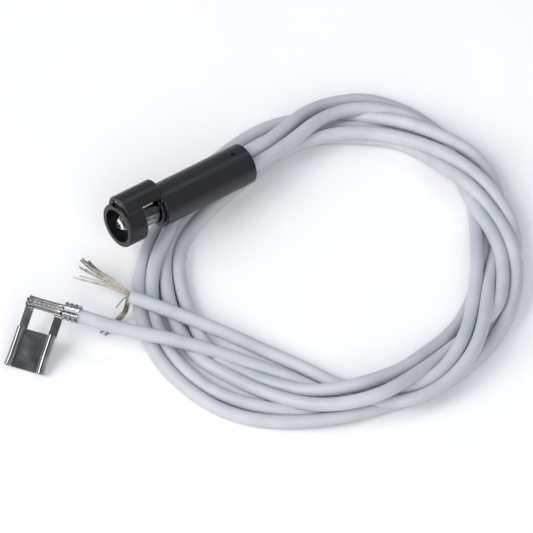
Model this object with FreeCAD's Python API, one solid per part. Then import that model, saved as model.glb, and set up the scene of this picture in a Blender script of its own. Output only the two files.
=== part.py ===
"""Flame sensor probe: a moulded viewing head and body round a glass sensor tube, with two
silicone cables that lie in a flat coil, a flag receptacle on one and bare strands on the other.

Frame, in millimetres: the origin is the centre of the hood's front face. The probe's axis lies in
the XZ plane and points to +X and a little up, because its nose rests on the coil. +Z is up.
Inside the probe, pieces are built in their own frame, where "back" is the distance behind the
hood's face along the axis, and are then tilted together.
"""
import FreeCAD, Part
import math
import os
from FreeCAD import Vector

# Probe, outside
HOOD_LENGTH = 4.6
WINDOW_LENGTH = 5.4
BODY_WALL = 0.75
HEAD_STEP = 0.4
EDGE_ROUND = 0.3
HUMP_RADIUS = 3.3
HUMP_RISE = 3.4
HUMP_START = 0.55
BRIDGE_OVER_BORE = 0.4
HEAD_ROLL = 15
SPIGOT_LENGTH = 4.0
SPIGOT_WALL = 0.5
SPIGOT_LEAD = 0.6

# Clip in the head
CLIP_THICK = 0.25
CLIP_UPPER_WIDTH = 2.6
CLIP_LOWER_WIDTH = 4.2
CLIP_LIP = 1.0
SLOT_OVER_BRIDGE = 0.35
CLIP_FRONT = 0.8
CLIP_BACK = 8.0
SLOT_WIDTH = 3.0
SLOT_HEIGHT = 1.2
CLIP_PIN_RADIUS = 0.4
CLIP_PIN_BACK = 4.3
CLIP_PIN_SIDE = 0.9

# Sensor tube
GLASS_RADIUS = 2.9
GLASS_WALL = 0.4
GLASS_FRONT = 0.6
GLASS_LENGTH = 21.4
BORE_CLEAR = 0.8
SPIGOT_CLEAR = 0.25
STEM_LENGTH = 1.5
PLATE_LENGTH = 5.0
PLATE_WIDTH = 4.0
PLATE_GAP = 1.2
PLATE_THICK = 0.2
PLATE_FROM_TIP = 2.0
PLATE_TAB = 0.8
LEAD_IN_RADIUS = 0.2
CUSHION_LENGTH = 2.0
SOCKET_LENGTH = 2.0
SOCKET_GAP = 0.3

# Joints between the tube's pins and the cables
CRIMP_LENGTH = 3.0
CRIMP_BORE = 0.35
CRIMP_WALL = 0.25
SLEEVE_WALL = 0.3
SLEEVE_OVERLAP = 0.3
WIRE_SLACK = 0.9

# Rear plug
PLUG_LENGTH = 4.5
PLUG_RECESS = 0.5
PLUG_RIM = 0.55
PLUG_PIN_RADIUS = 0.5
PLUG_PIN_FROM_REAR = 3.5
PLUG_PIN_RECESS = 0.35
PLUG_PIN_DEPTH = 2.0

# Cables
CABLE_RADIUS = 1.45
CONDUCTOR_RADIUS = 0.65
CABLE_GAP = 0.4
EXIT_RUN = 3.6
ARC_SHARE = 0.45
STRAND_RADIUS = 0.2
STRAND_COUNT = 6
STRAND_REACH = 5.5
STRAND_TIP_RUN = 6.6
STRAND_SPREAD = 3.0
STRAND_DRIFT = 1.6

# How the object lies
NOSE_TILT = 6.6
NOSE_HEIGHT = 11.2

# The coil of both cables
COIL_CENTRE = Vector(-32.8, 29.3, 0)
COIL_LONG_AXIS = 28.0
COIL_HALF_LENGTH = 46.5
COIL_HALF_WIDTH = 39.8
COIL_END_RADIUS = 34.5
COIL_BAND = 12.5
COIL_HEIGHT = 5.4
COIL_ROUND = 2.5
COIL_ROUND_SHARE = 0.48
PROBE_CLEAR = 0.15

# Flag receptacle
TAB_WIDTH = 6.3
SHEET = 0.4
ROLL_BORE = 0.45
ROLL_CLEAR = 0.3
RECEPTACLE_LENGTH = 8.4
FLAG_DROP = 5.6
BARREL_LENGTH = 7.2
CABLE_GRIP_LENGTH = 3.2
BARREL_GAP = 0.6
NECK_WIDTH = 2.0
FLAG_OVERHANG = 1.0
TERMINAL_TILT = 26.5
TERMINAL_HEADING = 31.9

# Clearances
SLIP_FIT = 0.05
CUT_PAST = 1.0

# Worked out from the sizes above
FLOOR = -NOSE_HEIGHT
CABLE_SIDE = CABLE_RADIUS + CABLE_GAP / 2
HEAD_LENGTH = HOOD_LENGTH + WINDOW_LENGTH
SPIGOT_BACK = HEAD_LENGTH + SPIGOT_LENGTH
GLASS_BORE = GLASS_RADIUS - GLASS_WALL
GLASS_BACK = GLASS_FRONT + GLASS_LENGTH
SOCKET_FRONT = GLASS_BACK + SOCKET_GAP
SOCKET_BACK = SOCKET_FRONT + SOCKET_LENGTH
CRIMP_FRONT = SOCKET_BACK + SOCKET_GAP
CRIMP_BACK = CRIMP_FRONT + CRIMP_LENGTH
PLUG_FRONT = CRIMP_BACK + WIRE_SLACK
PLUG_BACK = PLUG_FRONT + PLUG_LENGTH
PROBE_LENGTH = PLUG_BACK + PLUG_RECESS
CABLE_START = PLUG_FRONT - SLIP_FIT
ROOM_FOR_GLASS = GLASS_RADIUS + SPIGOT_CLEAR + SPIGOT_WALL + SLIP_FIT
ROOM_FOR_CABLES = CABLE_SIDE + CABLE_RADIUS + PLUG_RIM
BODY_BORE = max(ROOM_FOR_GLASS, ROOM_FOR_CABLES)
BODY_RADIUS = BODY_BORE + BODY_WALL
SPIGOT_RADIUS = BODY_BORE - SLIP_FIT
SPIGOT_BORE = SPIGOT_RADIUS - SPIGOT_WALL
HEAD_RADIUS = BODY_RADIUS + HEAD_STEP
BORE_RADIUS = GLASS_RADIUS + BORE_CLEAR
BRIDGE_HEIGHT = BORE_RADIUS + BRIDGE_OVER_BORE
SLOT_LOW = BRIDGE_HEIGHT + SLOT_OVER_BRIDGE
CLIP_LOWER_HEIGHT = GLASS_RADIUS + SLIP_FIT
CLIP_UPPER_HEIGHT = SLOT_LOW + SLOT_HEIGHT - 2 * SLIP_FIT
PLATE_BACK = GLASS_FRONT + PLATE_FROM_TIP
LAY = FLOOR + CABLE_RADIUS + SLIP_FIT

UP = Vector(0, 0, 1)
BACKWARD = Vector(-1, 0, 0)
SIDEWAYS = Vector(0, 1, 0)


def along(back, side=0.0, height=0.0):
    """A point inside the probe, before it is tilted."""
    return Vector(-back, side, height)


def rod(radius, front, back, side=0.0, height=0.0):
    """A round bar along the probe's axis."""
    return Part.makeCylinder(radius, back - front, along(front, side, height), BACKWARD)


def tube(outer, inner, front, back, side=0.0, height=0.0):
    """A round tube along the probe's axis."""
    return rod(outer, front, back, side, height).cut(rod(inner, front, back, side, height))


def block(front, back, width, low, high):
    """A box inside the probe, centred across its width."""
    return Part.makeBox(back - front, width, high - low, along(back, -width / 2, low))


def upright_pin(radius, back, side, low, high):
    """A pin that stands square to the axis."""
    return Part.makeCylinder(radius, high - low, along(back, side, low), UP)


def tilted(shape):
    """Turn a probe piece nose up about the centre of the hood's face."""
    turned = shape.copy()
    turned.rotate(Vector(0, 0, 0), SIDEWAYS, -NOSE_TILT)
    return turned


def rolled(shape):
    """Turn a piece of the head about the probe's axis, then tilt it with the probe."""
    turned = shape.copy()
    turned.rotate(Vector(0, 0, 0), Vector(1, 0, 0), HEAD_ROLL)
    return tilted(turned)


def both_sides(make):
    """A pair of separate solids, one for each cable."""
    return Part.makeCompound([make(-CABLE_SIDE), make(CABLE_SIDE)])


# The probe's pieces


def body_tube():
    """Plain tube with rounded ends and a hole for the plug's pin."""
    shell = tube(BODY_RADIUS, BODY_BORE, HEAD_LENGTH, PROBE_LENGTH)
    rims = [e for e in shell.Edges if is_rim(e, BODY_RADIUS)]
    shell = shell.makeFillet(min(EDGE_ROUND, BODY_WALL / 2), rims)
    return shell.cut(plug_pin_hole())


def is_rim(edge, radius):
    """True for a full circle of this radius."""
    curve = edge.Curve
    return isinstance(curve, Part.Circle) and abs(curve.Radius - radius) < 1e-6


def plug_pin_hole():
    """The straight hole that the plug's pin goes in, through the wall and into the plug."""
    back = PROBE_LENGTH - PLUG_PIN_FROM_REAR
    low = BODY_RADIUS - PLUG_PIN_RECESS - PLUG_PIN_DEPTH
    return upright_pin(PLUG_PIN_RADIUS, back, 0, low, BODY_RADIUS + CUT_PAST)


def rear_plug_pin():
    """Pin that keeps the rear plug in the body, set a little below its surface."""
    back = PROBE_LENGTH - PLUG_PIN_FROM_REAR
    top = BODY_RADIUS - PLUG_PIN_RECESS
    return upright_pin(PLUG_PIN_RADIUS, back, 0, top - PLUG_PIN_DEPTH, top)


def view_head():
    """Hood ring, humped bridge over the side window and the spigot that fits the body."""
    hood = rod(HEAD_RADIUS, 0, HOOD_LENGTH)
    hood = hood.makeFillet(EDGE_ROUND, [e for e in hood.Edges if is_rim(e, HEAD_RADIUS)])
    hump = rod(HUMP_RADIUS, HUMP_START, HEAD_LENGTH, 0, HUMP_RISE)
    hump = hump.makeFillet(EDGE_ROUND, [e for e in hump.Edges if is_rim(e, HUMP_RADIUS)])
    foot_front = HEAD_LENGTH - SPIGOT_LEAD
    under_bridge = block(HOOD_LENGTH, foot_front, 2 * HUMP_RADIUS, HUMP_RISE - HUMP_RADIUS,
                         BRIDGE_HEIGHT)
    head = hood.fuse(hump.cut(under_bridge))
    head = head.cut(rod(BORE_RADIUS, -CUT_PAST, foot_front))
    spigot = rod(SPIGOT_RADIUS, foot_front, SPIGOT_BACK)
    head = head.fuse(spigot).cut(rod(SPIGOT_BORE, foot_front, SPIGOT_BACK))
    for space in clip_spaces():
        head = head.cut(space)
    return head.removeSplitter()


def clip_spaces():
    """What the head leaves free: the front slot, the clip's way in, its web and its pin."""
    slot = block(0, CLIP_BACK + SLIP_FIT, SLOT_WIDTH, SLOT_LOW, SLOT_LOW + SLOT_HEIGHT)
    lower_low = CLIP_LOWER_HEIGHT - SLIP_FIT
    lower_high = CLIP_LOWER_HEIGHT + CLIP_THICK + SLIP_FIT
    lower_width = CLIP_LOWER_WIDTH + 2 * SLIP_FIT
    groove = block(-CUT_PAST, CLIP_BACK + SLIP_FIT, lower_width, lower_low, lower_high)
    web_front = CLIP_BACK - CLIP_THICK - SLIP_FIT
    web_width = CLIP_UPPER_WIDTH + 2 * SLIP_FIT
    web = block(web_front, CLIP_BACK + SLIP_FIT, web_width, lower_low, CLIP_UPPER_HEIGHT)
    top = HUMP_RISE + HUMP_RADIUS + CUT_PAST
    pin = upright_pin(CLIP_PIN_RADIUS, CLIP_PIN_BACK, CLIP_PIN_SIDE, CLIP_UPPER_HEIGHT, top)
    return [slot, groove, web, pin]


def retaining_clip():
    """Spring strip bent to a U: one leg in the hump's slot, with its lip turned down, and the
    other over the glass."""
    upper = block(CLIP_FRONT, CLIP_BACK, CLIP_UPPER_WIDTH, CLIP_UPPER_HEIGHT - CLIP_THICK,
                  CLIP_UPPER_HEIGHT)
    lower = block(CLIP_FRONT, CLIP_BACK, CLIP_LOWER_WIDTH, CLIP_LOWER_HEIGHT,
                  CLIP_LOWER_HEIGHT + CLIP_THICK)
    web = block(CLIP_BACK - CLIP_THICK, CLIP_BACK, CLIP_UPPER_WIDTH, CLIP_LOWER_HEIGHT,
                CLIP_UPPER_HEIGHT)
    lip = block(CLIP_FRONT, CLIP_FRONT + CLIP_THICK, CLIP_UPPER_WIDTH,
                CLIP_UPPER_HEIGHT - CLIP_LIP, CLIP_UPPER_HEIGHT)
    return upper.fuse([lower, web, lip]).removeSplitter()


def clip_pin():
    """Small rivet from the hump's crown down onto the clip's upper leg."""
    crown = HUMP_RISE + math.sqrt(HUMP_RADIUS ** 2 - CLIP_PIN_SIDE ** 2)
    return upright_pin(CLIP_PIN_RADIUS, CLIP_PIN_BACK, CLIP_PIN_SIDE, CLIP_UPPER_HEIGHT, crown)


def bulb_glass():
    """Glass tube with a domed front end, open at the back for its stem."""
    def domed(radius, front):
        dome = Part.makeSphere(radius, along(front + radius))
        return dome.fuse(rod(radius, front + radius, GLASS_BACK)).removeSplitter()
    cavity = domed(GLASS_BORE, GLASS_FRONT + GLASS_WALL)
    beyond = rod(GLASS_BORE, GLASS_BACK - CUT_PAST, GLASS_BACK + CUT_PAST)
    return domed(GLASS_RADIUS, GLASS_FRONT).cut(cavity.fuse(beyond))


def bulb_stem():
    """Pressed glass disc that closes the tube round its two lead-in pins."""
    disc = rod(GLASS_BORE, GLASS_BACK - STEM_LENGTH, GLASS_BACK)
    for side in (-CABLE_SIDE, CABLE_SIDE):
        disc = disc.cut(rod(LEAD_IN_RADIUS, 0, PROBE_LENGTH, side))
    return disc


def electrode(side, level):
    """Thin flat plate inside the glass, with a tab that stands up or down to its pin."""
    middle = level * PLATE_GAP / 2
    back = PLATE_BACK + PLATE_LENGTH
    low = middle - PLATE_THICK / 2
    high = middle + PLATE_THICK / 2
    plate = block(PLATE_BACK, back, PLATE_WIDTH, low, high)
    tab_low = min(low, -LEAD_IN_RADIUS)
    tab_high = max(high, LEAD_IN_RADIUS)
    tab = block(back - PLATE_TAB, back, PLATE_THICK, tab_low, tab_high)
    tab.translate(Vector(0, side, 0))
    return plate.fuse(tab).removeSplitter()


def lead_in_pins():
    """The wires from the electrodes through the stem and the socket."""
    front = PLATE_BACK + PLATE_LENGTH
    back = (CRIMP_FRONT + CRIMP_BACK) / 2 - SLIP_FIT
    return both_sides(lambda side: rod(LEAD_IN_RADIUS, front, back, side))


def bulb_cushion():
    """Silicone ring between the glass and the body, behind the spigot."""
    return tube(BODY_BORE, GLASS_RADIUS, SPIGOT_BACK, SPIGOT_BACK + CUSHION_LENGTH)


def tube_socket():
    """Disc that steadies the pins behind the glass."""
    disc = rod(BODY_BORE - SLIP_FIT, SOCKET_FRONT, SOCKET_BACK)
    for side in (-CABLE_SIDE, CABLE_SIDE):
        disc = disc.cut(rod(LEAD_IN_RADIUS + SLIP_FIT, 0, PROBE_LENGTH, side))
    return disc


def crimp_sleeves():
    """Metal sleeves that join the pins to the cable conductors."""
    outer = CRIMP_BORE + CRIMP_WALL
    return both_sides(lambda side: tube(outer, CRIMP_BORE, CRIMP_FRONT, CRIMP_BACK, side))


def insulating_sleeves():
    """Shrunk sleeves over the two crimped joints."""
    inner = CRIMP_BORE + CRIMP_WALL + SLIP_FIT
    outer = inner + SLEEVE_WALL
    front = CRIMP_FRONT - SLEEVE_OVERLAP / 2
    back = CRIMP_BACK + SLEEVE_OVERLAP
    return both_sides(lambda side: tube(outer, inner, front, back, side))


def inner_conductors():
    """The bared conductor ends that reach forward into the crimp sleeves."""
    front = (CRIMP_FRONT + CRIMP_BACK) / 2
    return both_sides(lambda side: rod(CRIMP_BORE, front, CABLE_START, side))


def rear_plug():
    """Soft plug in the rear of the body with a hole for each cable."""
    disc = rod(BODY_BORE - SLIP_FIT, PLUG_FRONT, PLUG_BACK)
    for side in (-CABLE_SIDE, CABLE_SIDE):
        disc = disc.cut(rod(CABLE_RADIUS, 0, PROBE_LENGTH, side))
    return disc.cut(plug_pin_hole())


# Cables


def cord_path(name, points):
    """Straight runs joined by tangent arcs, each as large as its two runs allow."""
    edges = []
    radii = []
    start = points[0]
    for before, corner, after in zip(points, points[1:], points[2:]):
        come = (corner - before).normalize()
        leave = (after - corner).normalize()
        turn = come.getAngle(leave)
        reach = ARC_SHARE * min((corner - before).Length, (after - corner).Length)
        radius = reach / math.tan(turn / 2)
        radii.append(radius)
        arc_start = corner - come * reach
        arc_end = corner + leave * reach
        inward = (leave - come).normalize()
        middle = corner + inward * (radius / math.cos(turn / 2) - radius)
        edges.append(Part.LineSegment(start, arc_start).toShape())
        edges.append(Part.Arc(arc_start, middle, arc_end).toShape())
        start = arc_end
    edges.append(Part.LineSegment(start, points[-1]).toShape())
    path = Part.Wire(edges)
    print(name, "radii", [round(r, 1) for r in radii], "length", round(path.Length, 1))
    return path


def cord_tube(name, radius, points):
    """Round tube along a cord's route."""
    path = cord_path(name, points)
    ring = Part.makeCircle(radius, points[0], points[1] - points[0])
    solid = path.makePipeShell([Part.Wire(ring)], True, False)
    expected = math.pi * radius ** 2 * path.Length
    print(name, "volume over section times length", round(solid.Volume / expected, 4))
    return solid


def cable_point(back, side):
    """A point on a cable's own line through the rear plug, in the tilted frame."""
    return tilted(Part.Vertex(along(back, side))).Point


# Routes, chosen by hand. Each lead runs from the rear plug to the coil; each tail leaves the coil
# inside it, crosses over the turns under the probe's nose and ends in the air beside it.
LEAD_A_ROUTE = [
    cable_point(CABLE_START, CABLE_SIDE),
    cable_point(PROBE_LENGTH + EXIT_RUN, CABLE_SIDE),
    Vector(-45.6, 0.6, -4.9),
    Vector(-53.8, -1.2, -5.7),
    Vector(-61.6, -0.9, -6.8),
    Vector(-67.9, 2.2, -7.4),
]
LEAD_B_ROUTE = [
    cable_point(CABLE_START, -CABLE_SIDE),
    cable_point(PROBE_LENGTH + EXIT_RUN, -CABLE_SIDE),
    Vector(-45.8, -3.2, -5.6),
    Vector(-53.6, -5.8, -7.4),
    Vector(-60.4, -5.5, -9.1),
    Vector(-66.9, -2.6, -9.6),
]
TAIL_A_ROUTE = [
    Vector(-12.0, 58.6, -9.6),
    Vector(-9.2, 50.0, LAY),
    Vector(-4.8, 41.6, -9.6),
    Vector(0.4, 33.6, -8.3),
    Vector(7.2, 25.8, -6.2),
    Vector(15.4, 18.3, -4.0),
    Vector(20.8, 9.4, -3.1),
]
TAIL_B_ROUTE = [
    Vector(-14.9, 56.6, LAY),
    Vector(-12.6, 48.8, LAY),
    Vector(-8.8, 39.9, -9.6),
    Vector(-4.2, 31.0, -8.2),
    Vector(1.2, 22.0, -6.5),
    Vector(6.2, 12.7, -6.2),
]


def coil_oval(inset, height):
    """Oval of four arcs on the floor, this far inside the coil's outline."""
    end = COIL_END_RADIUS
    reach = COIL_HALF_LENGTH - end
    side = (reach ** 2 + COIL_HALF_WIDTH ** 2 - end ** 2) / (2 * (COIL_HALF_WIDTH - end))
    drop = side - COIL_HALF_WIDTH
    join = math.atan2(drop, reach)
    end -= inset
    side -= inset

    def at(x, y, radius, angle):
        return Vector(x + radius * math.cos(angle), y + radius * math.sin(angle), height)

    half_turn = math.pi
    edges = [
        (reach, 0, end, -join, 0, join),
        (0, -drop, side, join, half_turn / 2, half_turn - join),
        (-reach, 0, end, half_turn - join, half_turn, half_turn + join),
        (0, drop, side, half_turn + join, 1.5 * half_turn, 2 * half_turn - join),
    ]
    arcs = []
    for x, y, radius, first, middle, last in edges:
        ends = [at(x, y, radius, angle) for angle in (first, middle, last)]
        arcs.append(Part.Arc(*ends).toShape())
    return Part.Wire(arcs)


def cable_coil():
    """The coil's outer shape: a flat oval band of cable with a groove where the probe lies."""
    outline = Part.Face(coil_oval(0, 0))
    inside = Part.Face(coil_oval(COIL_BAND, 0))
    band = outline.cut(inside).extrude(UP * COIL_HEIGHT)
    flat = [e for e in band.Edges if abs(e.tangentAt(e.FirstParameter).z) < 0.5]
    band = band.makeFillet(min(COIL_ROUND, COIL_ROUND_SHARE * COIL_HEIGHT), flat)
    band.rotate(Vector(0, 0, 0), UP, COIL_LONG_AXIS)
    band.translate(COIL_CENTRE + UP * FLOOR)
    groove = tilted(rod(HEAD_RADIUS + PROBE_CLEAR, -COIL_HALF_WIDTH, PROBE_LENGTH + EXIT_RUN))
    return band.cut(groove)


def bare_strands():
    """Fanned strands at the stripped end of the second cable."""
    root = TAIL_B_ROUTE[-1]
    out = (TAIL_B_ROUTE[-1] - TAIL_B_ROUTE[-2]).normalize()
    across = out.cross(UP).normalize()
    strands = []
    for number in range(STRAND_COUNT):
        angle = 2 * math.pi * number / STRAND_COUNT
        side = (CONDUCTOR_RADIUS - STRAND_RADIUS) * math.cos(angle)
        height = (CONDUCTOR_RADIUS - STRAND_RADIUS) * math.sin(angle)
        start = root + across * side + UP * height
        bend = start + out * STRAND_REACH + across * (STRAND_SPREAD * side) + UP * height
        drift = across * (STRAND_SPREAD * side - STRAND_DRIFT) + UP * height
        tip = bend + out * STRAND_TIP_RUN + drift
        strands.append(cord_tube("strand", STRAND_RADIUS, [start, bend, tip]))
    return Part.makeCompound(strands)


# Flag receptacle, built with +X towards its cable, -Y towards its mouth and +Z out of its face.
# The origin is where the cable's insulation ends.


def flag_placed(shape):
    """Put a receptacle piece on the end of the first cable's tail."""
    placed = shape.copy()
    placed.rotate(Vector(0, 0, 0), Vector(1, 0, 0), TERMINAL_TILT)
    placed.rotate(Vector(0, 0, 0), UP, TERMINAL_HEADING + 90)
    placed.translate(TAIL_A_ROUTE[-1])
    return placed


def barrel_end():
    """Where the conductor barrel ends, on the far side from the cable."""
    return -(BARREL_GAP + BARREL_LENGTH)


def flag_terminal():
    """One folded sheet: cable grip, conductor barrel, neck and a tab receptacle."""
    grip_outer = CABLE_RADIUS + SHEET
    x_axis = Vector(1, 0, 0)
    origin = Vector(0, 0, 0)
    grip = Part.makeCylinder(grip_outer, CABLE_GRIP_LENGTH, origin, x_axis)
    grip = grip.cut(Part.makeCylinder(CABLE_RADIUS, CABLE_GRIP_LENGTH, origin, x_axis))
    barrel_outer = CONDUCTOR_RADIUS + SHEET
    barrel_start = Vector(barrel_end(), 0, 0)
    barrel = Part.makeCylinder(barrel_outer, BARREL_LENGTH, barrel_start, x_axis)
    bore = Part.makeCylinder(CONDUCTOR_RADIUS, BARREL_LENGTH, barrel_start, x_axis)
    floor_top = -CABLE_RADIUS
    floor_low = floor_top - SHEET
    half_width = TAB_WIDTH / 2 + 2 * SHEET + ROLL_CLEAR
    left = barrel_end() - FLAG_OVERHANG
    right = left + 2 * half_width
    mouth = -(FLAG_DROP + RECEPTACLE_LENGTH)

    def plate(x_low, x_high, y_low, y_high):
        size = (x_high - x_low, y_high - y_low, SHEET)
        return Part.makeBox(*size, Vector(x_low, y_low, floor_low))

    strip_half = CONDUCTOR_RADIUS + SHEET / 2
    spine = plate(left, CABLE_GRIP_LENGTH, -strip_half, strip_half)
    riser_height = floor_top - floor_low + CABLE_RADIUS - CONDUCTOR_RADIUS
    riser = Part.makeBox(BARREL_LENGTH, 2 * SHEET, riser_height, Vector(barrel_end(), -SHEET, floor_low))
    neck = plate(left, left + NECK_WIDTH, -FLAG_DROP, strip_half)
    shoulder = plate(right - NECK_WIDTH, right, -FLAG_DROP, strip_half)
    base = plate(left, right, mouth, -FLAG_DROP)
    pieces = [spine, riser.cut(bore), neck, shoulder, base, barrel.cut(bore)]
    roll_outer = ROLL_BORE + SHEET
    for edge, direction in ((left, 1), (right, -1)):
        axis = Vector(edge + direction * roll_outer, mouth, floor_low + roll_outer)
        roll = Part.makeCylinder(roll_outer, RECEPTACLE_LENGTH, axis, SIDEWAYS)
        roll = roll.cut(Part.makeCylinder(ROLL_BORE, RECEPTACLE_LENGTH, axis, SIDEWAYS))
        inner_low = axis + Vector(0, 0, -ROLL_BORE)
        if direction < 0:
            inner_low = inner_low - Vector(roll_outer, 0, 0)
        opening = Part.makeBox(roll_outer, RECEPTACLE_LENGTH, ROLL_BORE, inner_low)
        pieces.append(roll.cut(opening))
    return flag_placed(grip.fuse(pieces).removeSplitter())


def terminal_conductor():
    """The conductor of the first cable, bared through the receptacle's barrel."""
    length = BARREL_GAP + BARREL_LENGTH + SHEET
    start = Vector(-length, 0, 0)
    return flag_placed(Part.makeCylinder(CONDUCTOR_RADIUS, length, start, Vector(1, 0, 0)))


PARTS = {
    "body_tube": tilted(body_tube()),
    "view_head": rolled(view_head()),
    "retaining_clip": rolled(retaining_clip()),
    "clip_pin": rolled(clip_pin()),
    "bulb_glass": tilted(bulb_glass()),
    "bulb_stem": tilted(bulb_stem()),
    "cathode_plate": tilted(electrode(-CABLE_SIDE, -1)),
    "anode_plate": tilted(electrode(CABLE_SIDE, 1)),
    "lead_in_pins": tilted(lead_in_pins()),
    "bulb_cushion": tilted(bulb_cushion()),
    "tube_socket": tilted(tube_socket()),
    "crimp_sleeves": tilted(crimp_sleeves()),
    "insulating_sleeves": tilted(insulating_sleeves()),
    "inner_conductors": tilted(inner_conductors()),
    "rear_plug": tilted(rear_plug()),
    "rear_plug_pin": tilted(rear_plug_pin()),
    "cable_a_lead": cord_tube("cable_a_lead", CABLE_RADIUS, LEAD_A_ROUTE),
    "cable_b_lead": cord_tube("cable_b_lead", CABLE_RADIUS, LEAD_B_ROUTE),
    "cable_coil": cable_coil(),
    "cable_a_tail": cord_tube("cable_a_tail", CABLE_RADIUS, TAIL_A_ROUTE),
    "cable_b_tail": cord_tube("cable_b_tail", CABLE_RADIUS, TAIL_B_ROUTE),
    "flag_terminal": flag_terminal(),
    "terminal_conductor": terminal_conductor(),
    "bare_strands": bare_strands(),
}

os.makedirs("parts", exist_ok=True)
for name, shape in PARTS.items():
    shape.exportStep("parts/" + name + ".step")
    low = shape.BoundBox
    print(name, "solids", len(shape.Solids), "valid", shape.isValid(), "volume",
          round(shape.Volume, 2), "lowest", round(low.ZMin - FLOOR, 2))
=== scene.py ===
"""Flame sensor probe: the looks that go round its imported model.

The frame, in metres, is the model's own: its origin is the centre of the hood's front face and the
probe's axis runs back to -X and a little down. +Z is up.
"""
import math

import bpy
import numpy as np
from bpy.props import (
    FloatProperty,
    FloatVectorProperty,
    IntProperty,
    PointerProperty,
)
from mathutils import Matrix, Vector


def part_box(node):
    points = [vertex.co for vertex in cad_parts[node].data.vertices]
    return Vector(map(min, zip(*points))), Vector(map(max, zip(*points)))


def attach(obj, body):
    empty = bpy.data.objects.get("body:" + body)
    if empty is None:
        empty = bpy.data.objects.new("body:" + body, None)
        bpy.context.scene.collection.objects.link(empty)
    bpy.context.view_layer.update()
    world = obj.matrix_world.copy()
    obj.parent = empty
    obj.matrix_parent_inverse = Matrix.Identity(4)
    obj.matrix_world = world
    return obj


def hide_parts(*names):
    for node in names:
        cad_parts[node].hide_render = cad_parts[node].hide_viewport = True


bl_info = {
    "name": "Flame Sensor Probe",
    "version": (1, 0, 0),
    "blender": (4, 5, 0),
    "location": "View3D > Sidebar > Flame Probe",
    "description": "Finishes, cables, receptacle and strands of a flame sensor probe",
    "category": "Object",
}

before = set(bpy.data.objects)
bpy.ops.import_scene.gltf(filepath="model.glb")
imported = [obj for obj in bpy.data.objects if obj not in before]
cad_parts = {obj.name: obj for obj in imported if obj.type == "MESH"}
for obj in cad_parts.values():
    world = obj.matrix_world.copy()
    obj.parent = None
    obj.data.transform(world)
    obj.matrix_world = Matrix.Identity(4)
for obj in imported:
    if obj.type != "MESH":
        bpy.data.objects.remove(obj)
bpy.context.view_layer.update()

MM = 0.001
BODY = "root"

# How the probe lies, as the model has it
NOSE_TILT = math.radians(6.6)
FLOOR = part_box("cable_coil")[0].z
CABLE_EXIT = 0.0330  # where the cables leave the plug, behind the hood's face

# The two cables' routes outside the coil, in metres. They are the model's, but for the
# last two points of lead A, which were moved to open its bend.
LEAD_A = (
    (-0.02826, 0.00165, -0.00327),
    (-0.03685, 0.00165, -0.00426),
    (-0.04560, 0.00060, -0.00490),
    (-0.05380, -0.00120, -0.00570),
    (-0.06150, -0.00030, -0.00680),
    (-0.06690, 0.00350, -0.00740),
)
LEAD_B = (
    (-0.02826, -0.00165, -0.00327),
    (-0.03685, -0.00165, -0.00426),
    (-0.04580, -0.00320, -0.00560),
    (-0.05360, -0.00580, -0.00740),
    (-0.06040, -0.00550, -0.00910),
    (-0.06690, -0.00260, -0.00960),
)
TAIL_A = (
    (-0.01200, 0.05860, -0.00960),
    (-0.00920, 0.05000, -0.00970),
    (-0.00480, 0.04160, -0.00960),
    (0.00040, 0.03360, -0.00830),
    (0.00720, 0.02580, -0.00620),
    (0.01540, 0.01830, -0.00400),
    (0.02080, 0.00940, -0.00310),
)
TAIL_B = (
    (-0.01490, 0.05660, -0.00970),
    (-0.01260, 0.04880, -0.00970),
    (-0.00880, 0.03990, -0.00960),
    (-0.00420, 0.03100, -0.00820),
    (0.00120, 0.02200, -0.00650),
    (0.00620, 0.01270, -0.00620),
)

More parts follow.
